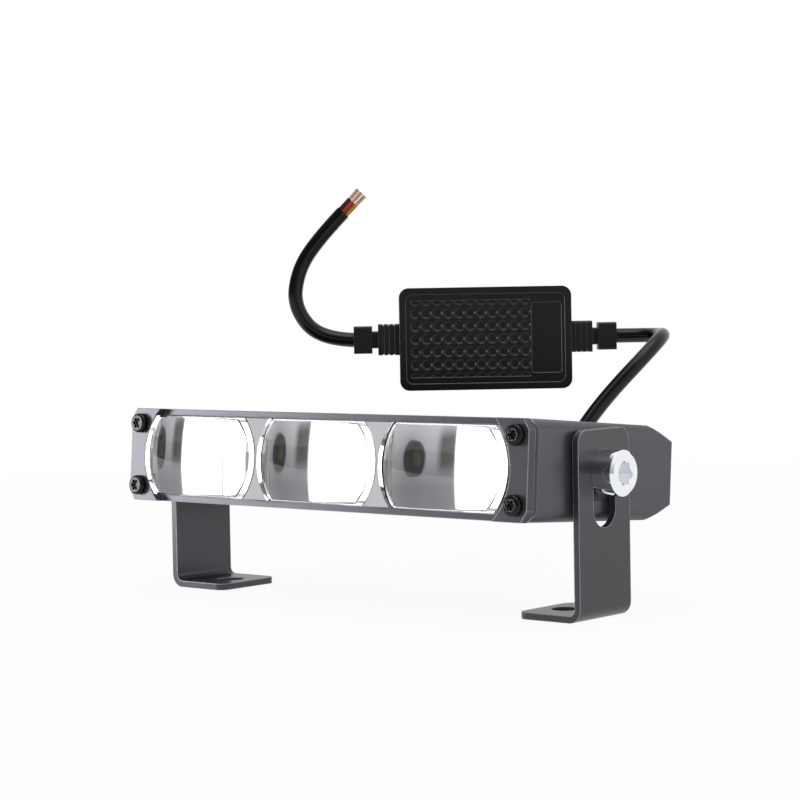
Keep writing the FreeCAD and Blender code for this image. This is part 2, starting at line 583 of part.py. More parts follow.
def make_driver_front():
    shell = rounded_plate(DRIVER_WIDTH, DRIVER_HEIGHT, DRIVER_CORNER, DRIVER_SPLIT)
    edge = 2 * DRIVER_RIM
    face = rounded_plate(DRIVER_WIDTH - edge, DRIVER_HEIGHT - edge, FACE_CORNER, DRIVER_FACE_STEP)
    panel_x = DRIVER_WIDTH / 2 - PANEL_IN - PANEL_WIDTH / 2
    panel = rounded_plate(PANEL_WIDTH, PANEL_HEIGHT, PANEL_CORNER, DRIVER_FACE_STEP + PANEL_STEP)
    panel.translate(V(panel_x, 0, 0))
    room = driver_inside(DRIVER_SPLIT)
    room.translate(V(0, DRIVER_WALL + DRIVER_FACE_STEP, 0))
    return shell.cut([face, panel, room, face_dimples()])


def face_dimples():
    """Rows of shallow dimples in the recessed face; the outer rows are half circles."""
    x0 = DIMPLES_IN - DRIVER_WIDTH / 2
    half = (DIMPLE_ROWS - 1) / 2 * DIMPLE_PITCH_Z
    field = box(x0, x0 + DIMPLE_COLUMNS * DIMPLE_PITCH_X, 0, DRIVER_WALL + DRIVER_FACE_STEP, -half, half)
    dimples = []
    for i in range(DIMPLE_COLUMNS):
        for j in range(DIMPLE_ROWS):
            place = V(x0 + (i + 0.5) * DIMPLE_PITCH_X, DRIVER_FACE_STEP, j * DIMPLE_PITCH_Z - half)
            dimples.append(Part.makeCone(DIMPLE_RADIUS, DIMPLE_FLOOR, DIMPLE_DEPTH, place, Y_AXIS))
    return Part.makeCompound(dimples).common(field)


def make_driver_back():
    depth = DRIVER_DEPTH - DRIVER_SPLIT
    shell = rounded_plate(DRIVER_WIDTH, DRIVER_HEIGHT, DRIVER_CORNER, depth)
    shell = shell.cut(driver_inside(depth - DRIVER_WALL))
    shell.translate(V(0, DRIVER_SPLIT, 0))
    return shell


def make_driver_board():
    board = driver_inside(DRIVER_BOARD)
    board.translate(V(0, DRIVER_DEPTH - DRIVER_WALL - DRIVER_BOARD, 0))
    return board


def make_driver_parts():
    """A choke and two capacitors standing on the driver's board."""
    y = DRIVER_DEPTH - DRIVER_WALL - DRIVER_BOARD
    choke = rod(V(-DRIVER_WIDTH / 6, y - CHOKE_HEIGHT, 0), Y_AXIS, CHOKE_RADIUS, CHOKE_HEIGHT)
    caps = [rod(V(DRIVER_WIDTH / 6, y - CAPACITOR_HEIGHT, z), Y_AXIS, CAPACITOR_RADIUS, CAPACITOR_HEIGHT)
            for z in (-DRIVER_HEIGHT / 5, DRIVER_HEIGHT / 5)]
    return Part.makeCompound([choke] + caps)


DRIVER_ROTATION = FreeCAD.Rotation(Z_AXIS, DRIVER_TURN)


def in_place(shape):
    """From the box's own axes, centred on it, to its place behind the lamp."""
    shape.Placement = FreeCAD.Placement(DRIVER_CENTRE, DRIVER_ROTATION).multiply(shape.Placement)
    return shape


def place_driver(shape):
    """The same for a piece drawn with the box's face at y = 0."""
    shape.translate(V(0, -DRIVER_DEPTH / 2, 0))
    return in_place(shape)


def driver_point(x, y, z):
    return DRIVER_CENTRE + DRIVER_ROTATION.multVec(V(x, y, z))


def aim(point):
    """A point of the level lamp, tipped to its aim and lifted over the ground."""
    return FreeCAD.Rotation(X_AXIS, -AIM_UP).multVec(point) + V(0, 0, AXIS_HEIGHT)


def lamp_lead_points():
    """From the gland, back and up, round a fold beside the box and into its relief."""
    start = REAR + GLAND_NUT
    straight = GLAND_TAIL / (1 - BEND_SHARE) + GLAND_RUN
    root = DRIVER_WIDTH / 2
    points = [aim(V(GLAND_X, start, 0)), aim(V(GLAND_X, start + straight, 0))]
    points += [driver_point(root + x, y, z) for x, y, z in LAMP_ROUTE]
    return points + [driver_point(root + RELIEF_BASE + RELIEF_NECK, 0, 0)]


def power_lead_points():
    """Out of the left relief, round a bend and up to the bare ends."""
    root = DRIVER_WIDTH / 2
    route = ((POWER_START, 0.0),) + POWER_ROUTE
    return [driver_point(-root - x, 0, z) for x, z in route]


CORE_COLOURS = ("black", "red", "yellow")


def make_cores(end, axis):
    """Three insulated cores side by side out of the jacket, each with a bare copper end."""
    back = DRIVER_ROTATION.multVec(Y_AXIS)
    across = axis.cross(back).normalize()
    parts = {}
    for i, colour in enumerate(CORE_COLOURS):
        out = across * CORE_STEP * (1 - i) + back * CORE_BACK * (abs(1 - i) - 0.5)
        start = end + out
        lean = out.normalize() * CORE_LEAN
        points = [start, start + axis * CORE_RUN, start + axis * CORE_RUN * 2 + lean]
        parts["core_" + colour] = lead("core_" + colour, points, CORE_RADIUS)
        tip = (points[2] - points[1]).normalize()
        parts["strand_" + colour] = rod(points[2], tip, STRAND_RADIUS, STRAND_LENGTH)
    return parts


def lamp_nodes():
    """Everything that tips with the lamp, in the lamp's level axes."""
    nodes = {"housing": make_housing()}
    for name, side in SIDES:
        nodes["end_cap_" + name] = mirrored(make_end_cap(), side)
        nodes["clamp_plate_" + name] = mirrored(make_clamp_plate(), side)
        nodes["clamp_screws_" + name] = mirrored(make_clamp_screws(), side)
        nodes["pivot_bolt_" + name] = mirrored(make_bolt(), side)
    for name, x in zip(LENS_NAMES, LENS_XS):
        nodes["lens_" + name] = make_lens(x)
        nodes["emitter_" + name] = make_emitter(x)
    for name, x in zip(("left", "right"), SPACER_XS):
        nodes["lens_spacer_" + name] = hourglass(x, PLATE_FRONT, FRONT)
    nodes["lens_gaskets"] = make_gaskets()
    nodes["reflector_tray"] = make_tray()
    nodes["led_board"] = make_board()
    nodes["led_chips"] = make_chips()
    nodes["thermal_pad"] = make_pad()
    nodes["board_screws"] = make_board_screws()
    nodes["cable_gland"] = make_gland()
    for shape in nodes.values():
        shape.Placement = FreeCAD.Placement(
            V(0, 0, AXIS_HEIGHT), FreeCAD.Rotation(X_AXIS, -AIM_UP)).multiply(shape.Placement)
    return nodes


def bracket_nodes():
    nodes = {}
    for name, side in SIDES:
        nodes["slot_bush_" + name] = mirrored(make_bush(), side)
        nodes["bracket_" + name] = mirrored(make_bracket(), side)
    for shape in nodes.values():
        shape.translate(V(0, 0, AXIS_HEIGHT))
    return nodes


def cord_nodes():
    power = power_lead_points()
    tail = (power[-1] - power[-2]).normalize()
    nodes = {
        "driver_case": place_driver(make_driver_front()),
        "driver_cover": place_driver(make_driver_back()),
        "driver_board": place_driver(make_driver_board()),
        "driver_parts": place_driver(make_driver_parts()),
        "relief_lamp": in_place(make_relief()),
        "relief_power": in_place(mirrored(make_relief(), -1)),
        "lamp_lead": lead("lamp_lead", lamp_lead_points(), LEAD_RADIUS),
        "power_lead": lead("power_lead", power, LEAD_RADIUS),
    }
    nodes.update(make_cores(power[-1], tail))
    return nodes


def main():
    lamp = lamp_nodes()
    lamp.update(bracket_nodes())
    cords = cord_nodes()
    bounds = Part.makeCompound(list(lamp.values())).BoundBox
    shift = V(-bounds.Center.x, -bounds.Center.y, -bounds.ZMin)
    print("shift", [round(c, 3) for c in shift], "box", round(bounds.XLength, 2), round(bounds.YLength, 2),
          round(bounds.ZLength, 2))
    os.makedirs("parts", exist_ok=True)
    for name, shape in {**lamp, **cords}.items():
        shape.translate(shift)
        shape.exportStep("parts/" + name + ".step")
        state = "valid" if shape.isValid() else "INVALID"
        print(name, len(shape.Solids), "solids", round(shape.Volume), "mm3", state)


main()
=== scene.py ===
# %% [markdown]
# # A grille driving light, finished in Blender
# The solid pieces of this lamp come from a CAD model and are already in their places.
# This lesson gives them their finishes: dark anodised metal, thick clear lenses, zinc bolts, moulded plastic
# and soft leads. Nothing here moves or resizes a solid piece. We only dress it, light it and look at it.

# %% Load the solid pieces
import math

import bpy
import numpy as np
from mathutils import Matrix, Vector


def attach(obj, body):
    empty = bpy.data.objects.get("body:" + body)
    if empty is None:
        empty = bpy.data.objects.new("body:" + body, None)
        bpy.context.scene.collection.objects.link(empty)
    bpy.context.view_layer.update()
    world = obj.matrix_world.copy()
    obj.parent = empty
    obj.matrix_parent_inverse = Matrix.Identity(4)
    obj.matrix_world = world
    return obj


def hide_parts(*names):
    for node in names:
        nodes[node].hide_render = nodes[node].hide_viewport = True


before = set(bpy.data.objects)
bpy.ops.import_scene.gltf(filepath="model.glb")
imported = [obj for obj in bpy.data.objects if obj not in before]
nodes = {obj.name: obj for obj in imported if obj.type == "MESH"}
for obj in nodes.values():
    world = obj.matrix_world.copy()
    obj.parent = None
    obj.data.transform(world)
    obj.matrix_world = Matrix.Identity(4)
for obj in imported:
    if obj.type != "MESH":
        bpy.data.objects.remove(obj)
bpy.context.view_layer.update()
scene = bpy.context.scene
scene.view_settings.view_transform = "Standard"
MM = 0.001
print("solid pieces:", len(nodes))

# %% [markdown]
# ## The camera
# The photograph was taken with a long lens from the right, a little above the lamp and slightly tilted.
# A camera looks along its own -Z axis, so we turn it up to the horizon and then round the vertical.
# Matrices act from right to left. The roll turns the camera about its own line of sight, so it acts first
# and is written last.

# %% Place the camera
CAMERA_PLACE = Vector((465.5, -547.8, 92.4)) * MM
CAMERA_YAW = math.radians(40.35)
CAMERA_PITCH = math.radians(2.585)
CAMERA_ROLL = math.radians(-1.009)
CAMERA_LENS = 106.97
SENSOR_WIDTH = 36
CLIP_START = 0.01
TO_HORIZON = math.radians(90)

camera_data = bpy.data.cameras.new("camera")
camera_data.lens = CAMERA_LENS
camera_data.sensor_width = SENSOR_WIDTH
camera_data.clip_start = CLIP_START
camera = bpy.data.objects.new("camera", camera_data)
scene.collection.objects.link(camera)
camera.matrix_world = (Matrix.Translation(CAMERA_PLACE) @ Matrix.Rotation(CAMERA_YAW, 4, "Z")
                       @ Matrix.Rotation(TO_HORIZON - CAMERA_PITCH, 4, "X")
                       @ Matrix.Rotation(CAMERA_ROLL, 4, "Z"))
scene.camera = camera
print("camera stands", round(CAMERA_PLACE.length, 3), "m from the lamp")

# %% [markdown]
# ## Three small helpers
# Colours are written as sRGB hex values, the way a picture shows them. Shaders work with linear light,
# so one function converts. A second adds a node, sets its options and fills its sockets with values or links.
# It serves shader trees and geometry trees alike. The third spells out the names of like pieces.


# %% Colour, node and name helpers
def linear(hex_colour):
    """sRGB hex text to a linear RGBA colour."""
    channels = [int(hex_colour[i:i + 2], 16) / 255 for i in (1, 3, 5)]
    return tuple(c / 12.92 if c <= 0.04045 else ((c + 0.055) / 1.055) ** 2.4 for c in channels) + (1.0,)


def add(tree, kind, inputs=None, **settings):
    """Adds a node, sets its options, and fills its inputs with values or with links from sockets."""
    node = tree.nodes.new(kind)
    for name, value in settings.items():
        setattr(node, name, value)
    for name, value in (inputs or {}).items():
        if isinstance(value, bpy.types.NodeSocket):
            tree.links.new(value, node.inputs[name])
        else:
            node.inputs[name].default_value = value
    return node


def each(stem, endings):
    """The names of like pieces, such as one for each side."""
    return [stem + ending for ending in endings]


# %% [markdown]
# ## What most finishes share
# A Principled shader with a colour, a roughness and perhaps a metal value starts nearly every finish here.
# Real edges are never knife sharp. The Bevel node rounds them in the shading alone, so each edge catches
# a thin line of light. A paler edge colour may also be mixed in where the rounded normal turns away
# from the flat one: a painted highlight along each edge.
# A fine noise pushed into Bump gives the grain of a blasted, coated or moulded skin. Its scale is worked out
# from a grain size in millimetres.

# %% A finish with soft edges and grain
BEVEL_SAMPLES = 6
EDGE_STARTS = 0.99
EDGE_FULL = 0.85
GRAIN_DETAIL = 2.0
# A Mix node keeps its colour sockets at these places
MIX_A, MIX_B, MIX_RESULT = 6, 7, 2


def finish(name, colour, roughness, metallic=0.0, edge_mm=0.0, edge_highlight_colour=None,
           grain_mm=0.0, grain_depth_mm=0.0, **sockets):
    """A Principled material; the extra sockets are set by their own names."""
    material = bpy.data.materials.new(name)
    material.use_nodes = True
    tree = material.node_tree
    shader = tree.nodes["Principled BSDF"]
    shader.inputs["Base Color"].default_value = linear(colour)
    shader.inputs["Roughness"].default_value = roughness
    shader.inputs["Metallic"].default_value = metallic
    for socket, value in sockets.items():
        shader.inputs[socket.replace("_", " ")].default_value = value
    normal = None
    if edge_mm:
        bevel = add(tree, "ShaderNodeBevel", {"Radius": edge_mm * MM}, samples=BEVEL_SAMPLES)
        normal = bevel.outputs["Normal"]
    # Painted highlight: a paler colour mixed into the base colour along each edge
    if edge_highlight_colour:
        flat = add(tree, "ShaderNodeNewGeometry").outputs["Normal"]
        agree = add(tree, "ShaderNodeVectorMath", {0: normal, 1: flat}, operation="DOT_PRODUCT")
        painted_highlight = add(tree, "ShaderNodeMapRange",
                   {"Value": agree.outputs["Value"], "From Min": EDGE_STARTS, "From Max": EDGE_FULL})
        skin = add(tree, "ShaderNodeMix",
                   {"Factor": painted_highlight.outputs["Result"], MIX_A: linear(colour), MIX_B: linear(edge_highlight_colour)},
                   data_type="RGBA")
        tree.links.new(skin.outputs[MIX_RESULT], shader.inputs["Base Color"])
    if grain_mm:
        place = add(tree, "ShaderNodeTexCoord").outputs["Object"]
        grain = add(tree, "ShaderNodeTexNoise",
                    {"Vector": place, "Scale": 1 / (grain_mm * MM), "Detail": GRAIN_DETAIL})
        bump = {"Height": grain.outputs["Fac"], "Distance": grain_depth_mm * MM}
        if normal:
            bump["Normal"] = normal
        normal = add(tree, "ShaderNodeBump", bump).outputs["Normal"]
    if normal:
        tree.links.new(normal, shader.inputs["Normal"])
    return material


def dress(material, *names):
    """Gives solid pieces a finish by filling their material slots."""
    for name in names:
        slots = nodes[name].data.materials
        slots.clear()
        slots.append(material)
    print(material.name, "on", ", ".join(names))


# %% [markdown]
# ## Lamp body: anodised aluminium
# The housing, its end caps and the clamp plates are bead-blasted aluminium with a dark anodised skin.
# Blasting gives a satin surface with a very fine grain; the dye leaves a slightly violet grey.
# The real grain is finer still. It is drawn a quarter of a millimetre wide, so that a close view shows it.
# The skin is a clear hard layer over metal, so a part-metallic shader with a middling roughness comes close.

# %% Body finish
SIDES = ("left", "right")
# The pale edge colour is a painted highlight
body_skin = finish("anodised_aluminium_dark", "#4b4a52", roughness=0.36, metallic=0.45,
                   edge_mm=0.45, edge_highlight_colour="#d4d3dc", grain_mm=0.25, grain_depth_mm=0.004)
dress(body_skin, "housing", *each("end_cap_", SIDES), *each("clamp_plate_", SIDES))

# %% [markdown]
# ## Brackets: powder-coated steel
# The brackets are folded from steel sheet and powder coated. Powder melts to a smooth skin
# with a faint orange-peel. It isn't metal at the surface, so metallic stays at zero
# and the gloss comes from the usual plastic reflection.

# %% Bracket finish
# The pale edge colour is a painted highlight
bracket_skin = finish("powder_coat_satin", "#33323a", roughness=0.32,
                      edge_mm=0.45, edge_highlight_colour="#d0cfd8", grain_mm=0.6, grain_depth_mm=0.006)
dress(bracket_skin, *each("bracket_", SIDES))

# %% [markdown]
# ## Fasteners: zinc and black oxide
# The pivot bolts are bright zinc: nearly a mirror, and faintly blue.
# The small screws are black oxide over steel, an oily dark skin with a soft shine.

# %% Fastener finishes
bolt_zinc = finish("bright_zinc_plate", "#eef0f4", roughness=0.10, metallic=1.0, edge_mm=0.08)
# The pale edge colour is a painted highlight
screw_black = finish("black_oxide_steel", "#19191b", roughness=0.26, metallic=0.6,
                     edge_mm=0.2, edge_highlight_colour="#dcdce0")
dress(bolt_zinc, *each("pivot_bolt_", SIDES))
dress(screw_black, *each("clamp_screws_", SIDES), "board_screws")

# %% [markdown]
# ## Optics: clear lenses over mirrored cups
# Each lens is one thick block of clear polycarbonate, and a transmission of 1 with that plastic's index
# bends the light. Behind each lens lies a deep cup with mirrored walls. Seen from the right, the left wall
# shows the emitter at the cup's floor, and the rest of the lens fills with white.
# Where each piece appears comes from bending and mirrors alone.
# The white itself is helped: the rear of the cups glows softly, because little light finds its way in
# through a lens, and in the photograph that part is burnt out. For the same reason the lenses cast no shadow.

# %% Lenses and spacers
LENSES = ("left", "centre", "right")
lens_clear = finish("clear_polycarbonate", "#ffffff", roughness=0.0, Transmission_Weight=1.0, IOR=1.6)
tray_mirror = finish("metallised_plastic", "#f8f8f8", roughness=0.04, metallic=1.0)
trim_silver = finish("satin_silver_trim", "#ededf0", roughness=0.4, edge_mm=0.15)
dress(lens_clear, *each("lens_", LENSES))
dress(trim_silver, *each("lens_spacer_", SIDES))
for name in each("lens_", LENSES):
    nodes[name].visible_shadow = False

# %% Mirrored cups with a soft glow at the rear
CUP_FLOOR_Y = 1.2
CUP_GLOW = 1.3
tree = tray_mirror.node_tree
shader = tree.nodes["Principled BSDF"]
place = add(tree, "ShaderNodeTexCoord").outputs["Object"]
depth = add(tree, "ShaderNodeSeparateXYZ", {"Vector": place}).outputs["Y"]
at_rear = add(tree, "ShaderNodeMath", {0: depth, 1: CUP_FLOOR_Y * MM}, operation="GREATER_THAN")
glow = add(tree, "ShaderNodeMath", {0: at_rear.outputs[0], 1: CUP_GLOW}, operation="MULTIPLY")
shader.inputs["Emission Color"].default_value = linear("#ffffff")
tree.links.new(glow.outputs[0], shader.inputs["Emission Strength"])
dress(tray_mirror, "reflector_tray")

# %% Emitters
seat_black = finish("emitter_seat_black", "#060506", roughness=0.6, Specular_IOR_Level=0.1)
# The phosphor is painted a dull dark brown far below its own yellow: painted shade
phosphor = finish("yellow_phosphor_painted_shade", "#33280f", roughness=0.6, Specular_IOR_Level=0.1)
dress(seat_black, *each("emitter_", LENSES))
dress(phosphor, "led_chips")

# %% [markdown]
# ## Emitter board: paint by position
# The board is painted pale at its upper edge and greyer below, a painted shade that darkens it towards the
# bottom. A dark brown pad is painted to the right of each emitter.
# The pads repeat with the lenses, so Wrap folds the X position into one lens pitch. Two Map Range nodes
# with soft ends then mark out a pad, one across and one in height, and their product is the pad's mask.

# %% Pad mask
LENS_PITCH = 47.6
PAD_INNER = 6.2
PAD_MIDDLE = 40.2
PAD_HALF_HEIGHT = 2.0
PAD_BLUR = 0.8
board_paint = finish("solder_mask_painted_shade", "#a2a2a8", roughness=0.5)
tree = board_paint.node_tree
place = add(tree, "ShaderNodeTexCoord").outputs["Object"]
axes = add(tree, "ShaderNodeSeparateXYZ", {"Vector": place}).outputs
folded = add(tree, "ShaderNodeMath", {0: axes["X"], 1: LENS_PITCH / 2 * MM, 2: -LENS_PITCH / 2 * MM},
             operation="WRAP").outputs[0]
across = add(tree, "ShaderNodeMapRange", {"Value": folded, "From Min": (PAD_INNER - PAD_BLUR) * MM,
                                          "From Max": (PAD_INNER + PAD_BLUR) * MM}).outputs["Result"]
rise = add(tree, "ShaderNodeMath", {0: axes["Z"], 1: PAD_MIDDLE * MM}, operation="SUBTRACT").outputs[0]
reach = add(tree, "ShaderNodeMath", {0: rise}, operation="ABSOLUTE").outputs[0]
within = add(tree, "ShaderNodeMapRange", {"Value": reach, "From Min": (PAD_HALF_HEIGHT + PAD_BLUR) * MM,
                                          "From Max": (PAD_HALF_HEIGHT - PAD_BLUR) * MM}).outputs["Result"]
on_pad = add(tree, "ShaderNodeMath", {0: across, 1: within}, operation="MULTIPLY").outputs[0]
print("pads repeat every", LENS_PITCH, "mm")

# %% Board colours
GREY_BELOW = 36.6
PALE_ABOVE = 43.6
# Painted shade: the board's colour goes from grey below to pale above, darker towards the bottom
height = add(tree, "ShaderNodeMapRange", {"Value": axes["Z"], "From Min": GREY_BELOW * MM,
                                          "From Max": PALE_ABOVE * MM}).outputs["Result"]
mask = add(tree, "ShaderNodeMix", {"Factor": height, MIX_A: linear("#5c5c63"), MIX_B: linear("#c0c0c6")},
           data_type="RGBA").outputs[MIX_RESULT]
paint = add(tree, "ShaderNodeMix", {"Factor": on_pad, MIX_A: mask, MIX_B: linear("#211b19")},
            data_type="RGBA").outputs[MIX_RESULT]
tree.links.new(paint, tree.nodes["Principled BSDF"].inputs["Base Color"])
dress(board_paint, "led_board")

# %% [markdown]
# ## Inside and rubber pieces
# The driver's board, the thermal pad, the gaskets and the bushes hardly show, but each still gets
# what it is made of. Rubber and the pad are dull, nylon has a low sheen, and lacquered boards and sleeves
# shine a little. A plain colour and a roughness are enough for that.

# %% Inside finishes
silicone = finish("black_silicone_rubber", "#18181a", roughness=0.65)
dress(silicone, "lens_gaskets", "cable_gland")
dress(finish("green_solder_mask", "#1f4a30", roughness=0.35), "driver_board")
dress(finish("grey_thermal_pad", "#8a8c90", roughness=0.8), "thermal_pad")
dress(finish("black_nylon", "#1c1c1d", roughness=0.5), *each("slot_bush_", SIDES))
dress(finish("component_sleeve", "#2c2d33", roughness=0.4), "driver_parts")

# %% [markdown]
# ## Driver box: moulded plastic
# The driver's shells are black plastic from a spark-eroded mould, which leaves a fine even grain.
# The strain reliefs are softer and duller, and smooth. Dark plastic shows mostly by its edges,
# so both get a grey painted highlight along their edges.

# %% Driver finishes
case_black = finish("black_abs_moulded", "#08090a", roughness=0.32, edge_mm=0.3, edge_highlight_colour="#7c7c82",
                    grain_mm=0.2, grain_depth_mm=0.003, Specular_IOR_Level=0.35)
relief_black = finish("black_pvc_moulded", "#0d0d0e", roughness=0.42, edge_mm=0.25, edge_highlight_colour="#606065",
                      Specular_IOR_Level=0.35)
dress(case_black, "driver_case", "driver_cover")
dress(relief_black, "relief_lamp", "relief_power")

# %% [markdown]
# ## Leads: soft curves
# Each lead is a NURBS curve with a round bevel. Its control points are the corners of the route,
# in millimetres. An order of 3 keeps the line smooth and close to the corners. Order and end points are set
# after the points exist, because a spline with fewer points than its order falls back to straight runs.

# %% Lead curves
LEAD_RADIUS = 2.4
LEAD_ORDER = 3
ROUND_STEPS = 6
LENGTH_STEPS = 16
LAMP_ROUTE = ((20.0, 35.4, 38.0), (20.0, 54.7, 36.5), (23.7, 66.2, 53.4), (38.5, 85.4, 77.3),
              (23.2, 106.5, 77.0), (7.2, 93.0, 77.0))
POWER_ROUTE = ((-51.9, 42.9, 77.0), (-62.2, 34.1, 77.0), (-69.2, 28.2, 87.9), (-68.0, 29.3, 100.4),
               (-62.5, 33.8, 110.8), (-56.3, 39.2, 119.2))
jacket = finish("black_pvc_jacket", "#050506", roughness=0.24, Specular_IOR_Level=0.32)


def lead(name, route, node):
    """A round lead along a route that stands for a solid piece."""
    curve = bpy.data.curves.new(name, "CURVE")
    curve.dimensions = "3D"
    curve.bevel_depth = LEAD_RADIUS * MM
    curve.bevel_resolution = ROUND_STEPS
    curve.resolution_u = LENGTH_STEPS
    curve.use_fill_caps = True
    spline = curve.splines.new("NURBS")
    spline.points.add(len(route) - 1)
    for point, place in zip(spline.points, route):
        point.co = (*(Vector(place) * MM), 1.0)
    spline.order_u = LEAD_ORDER
    spline.use_endpoint_u = True
    curve.materials.append(jacket)
    piece = bpy.data.objects.new(name, curve)
    scene.collection.objects.link(piece)
    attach(piece, "lamp")
    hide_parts(node)
    print(name, "has", len(route), "points and stands for", node)
    return piece


lamp_cord = lead("lamp_cord", LAMP_ROUTE, "lamp_lead")
power_cord = lead("power_cord", POWER_ROUTE, "power_lead")

# %% [markdown]
# ## Bare ends: cores and copper
# The lead's cores are PVC in three colours. Each ends in a bundle of fine copper wires.
# A bundle repeats one thin wire many times, which is work for Geometry Nodes: points on rings,
# one wire on each, realized at the end.
# The wires follow the solid strand's own axis, which we measure from its vertices.

# %% Core colours
CORE_COLOURS = {"black": "#1b1b1c", "red": "#b3262c", "yellow": "#d8a02c"}
for colour, shade in CORE_COLOURS.items():
    dress(finish("pvc_core_" + colour, shade, roughness=0.35), "core_" + colour)
copper = finish("bare_copper", "#f4d2b8", roughness=0.34, metallic=0.8)

# %% Copper wire tree
WIRE_RADIUS = 0.13
WIRE_LENGTH = 4.5
WIRE_SIDES = 8
WIRE_LEAN = 0.03
WIRE_RINGS = ((0.0, 1), (0.26, 6), (0.5, 12))
# The middle ring is a circle too, as small as a circle can be
LEAST_RADIUS = 0.001
LEAST_POINTS = 3


def wire_tree():
    """Geometry nodes: rings of thin wires standing along Z."""
    tree = bpy.data.node_groups.new("copper_bundle", "GeometryNodeTree")
    for name, default in (("Length", WIRE_LENGTH * MM), ("Wire Radius", WIRE_RADIUS * MM)):
        socket = tree.interface.new_socket(name, in_out="INPUT", socket_type="NodeSocketFloat")
        socket.default_value = default
    tree.interface.new_socket("Geometry", in_out="OUTPUT", socket_type="NodeSocketGeometry")
    given = add(tree, "NodeGroupInput").outputs
    top = add(tree, "ShaderNodeCombineXYZ", {"Z": given["Length"]}).outputs["Vector"]
    spine = add(tree, "GeometryNodeCurvePrimitiveLine", {"End": top}).outputs["Curve"]
    section = add(tree, "GeometryNodeCurvePrimitiveCircle",
                  {"Resolution": WIRE_SIDES, "Radius": given["Wire Radius"]}).outputs["Curve"]
    wire = add(tree, "GeometryNodeCurveToMesh",
               {"Curve": spine, "Profile Curve": section, "Fill Caps": True}).outputs["Mesh"]
    joined = add(tree, "GeometryNodeJoinGeometry")
    for radius, count in WIRE_RINGS:
        ring = add(tree, "GeometryNodeMeshCircle", {"Vertices": max(count, LEAST_POINTS),
                                                    "Radius": max(radius, LEAST_RADIUS) * MM})
        points = add(tree, "GeometryNodeMeshToPoints", {"Mesh": ring.outputs["Mesh"]}).outputs["Points"]
        lean = add(tree, "FunctionNodeRandomValue",
                   {"Seed": count, "Min": (-WIRE_LEAN, -WIRE_LEAN, 0.0), "Max": (WIRE_LEAN, WIRE_LEAN, 0.0)},
                   data_type="FLOAT_VECTOR")
        copies = add(tree, "GeometryNodeInstanceOnPoints",
                     {"Points": points, "Instance": wire, "Rotation": lean.outputs["Value"]})
        tree.links.new(copies.outputs["Instances"], joined.inputs["Geometry"])
    real = add(tree, "GeometryNodeRealizeInstances", {"Geometry": joined.outputs["Geometry"]})
    coated = add(tree, "GeometryNodeSetMaterial",
                 {"Geometry": real.outputs["Geometry"], "Material": copper})
    add(tree, "NodeGroupOutput", {"Geometry": coated.outputs["Geometry"]})
    return tree


# %% Copper bundles
def rod_axis(node, near):
    """Start, direction and length of a straight solid rod, starting at the end nearest to a point."""
    points = np.array([v.co for v in nodes[node].data.vertices])
    middle = points.mean(0)
    axis = np.linalg.svd(points - middle)[2][0]
    along = (points - middle) @ axis
    ends = [Vector(middle + axis * reach) for reach in (along.min(), along.max())]
    ends.sort(key=lambda end: (end - near).length)
    return ends[0], (ends[1] - ends[0]).normalized(), (ends[1] - ends[0]).length


bundle_tree = wire_tree()
length_socket = bundle_tree.interface.items_tree["Length"].identifier
jacket_end = Vector(POWER_ROUTE[-1]) * MM
for colour in CORE_COLOURS:
    start, direction, length = rod_axis("strand_" + colour, jacket_end)
    holder = bpy.data.objects.new("holder", bpy.data.meshes.new("holder"))
    scene.collection.objects.link(holder)
    modifier = holder.modifiers.new("bundle", "NODES")
    modifier.node_group = bundle_tree
    modifier[length_socket] = length
    mesh = bpy.data.meshes.new_from_object(holder.evaluated_get(bpy.context.evaluated_depsgraph_get()))
    mesh.transform(Matrix.Translation(start) @ direction.to_track_quat("Z", "Y").to_matrix().to_4x4())
    bpy.data.objects.remove(holder)
    bundle = bpy.data.objects.new("copper_" + colour, mesh)
    scene.collection.objects.link(bundle)
    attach(bundle, "lamp")
    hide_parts("strand_" + colour)
    print("copper bundle", colour, len(mesh.polygons), "faces")

print("leads declared:", lamp_cord.name, power_cord.name)

# %% [markdown]
# ## Floor: white paper with a soft shadow
# The floor looks white to the camera, in mirrors and through glass. Light Path tells which kind of ray asks.
# Near the lamp a little of the paper's own shading stays, so the shadow shows. It fades with distance,
# so that no horizon is seen. For the soft light that falls on the lamp the floor is plain paper.


# %% Floor
def seen_directly(tree):
    """1 for camera, mirror and see-through rays, 0 for scattered light."""
    path = add(tree, "ShaderNodeLightPath").outputs
    either = add(tree, "ShaderNodeMath", {0: path["Is Camera Ray"], 1: path["Is Glossy Ray"]},
                 operation="MAXIMUM").outputs[0]
    return add(tree, "ShaderNodeMath", {0: either, 1: path["Is Transmission Ray"]},
               operation="MAXIMUM").outputs[0]


FLOOR_HALF = 3.0
FLOOR_DROP = 0.0002
SHADOW_REACH = 0.15
WHITE_FROM = 0.7
NEAR_WHITE = 0.95
floor_mesh = bpy.data.meshes.new("floor")
floor_mesh.from_pydata([(-FLOOR_HALF, -FLOOR_HALF, 0), (FLOOR_HALF, -FLOOR_HALF, 0),
                        (FLOOR_HALF, FLOOR_HALF, 0), (-FLOOR_HALF, FLOOR_HALF, 0)], [], [(0, 1, 2, 3)])
floor = bpy.data.objects.new("floor", floor_mesh)
scene.collection.objects.link(floor)
floor.location.z = -FLOOR_DROP
floor_material = bpy.data.materials.new("white_floor")
floor_material.use_nodes = True
tree = floor_material.node_tree
tree.nodes.clear()
paper = add(tree, "ShaderNodeBsdfDiffuse", {"Color": linear("#e8e8e8")}).outputs["BSDF"]
white = add(tree, "ShaderNodeEmission", {"Strength": 1.0}).outputs["Emission"]
place = add(tree, "ShaderNodeTexCoord").outputs["Object"]
away = add(tree, "ShaderNodeVectorMath", {0: place}, operation="LENGTH").outputs["Value"]
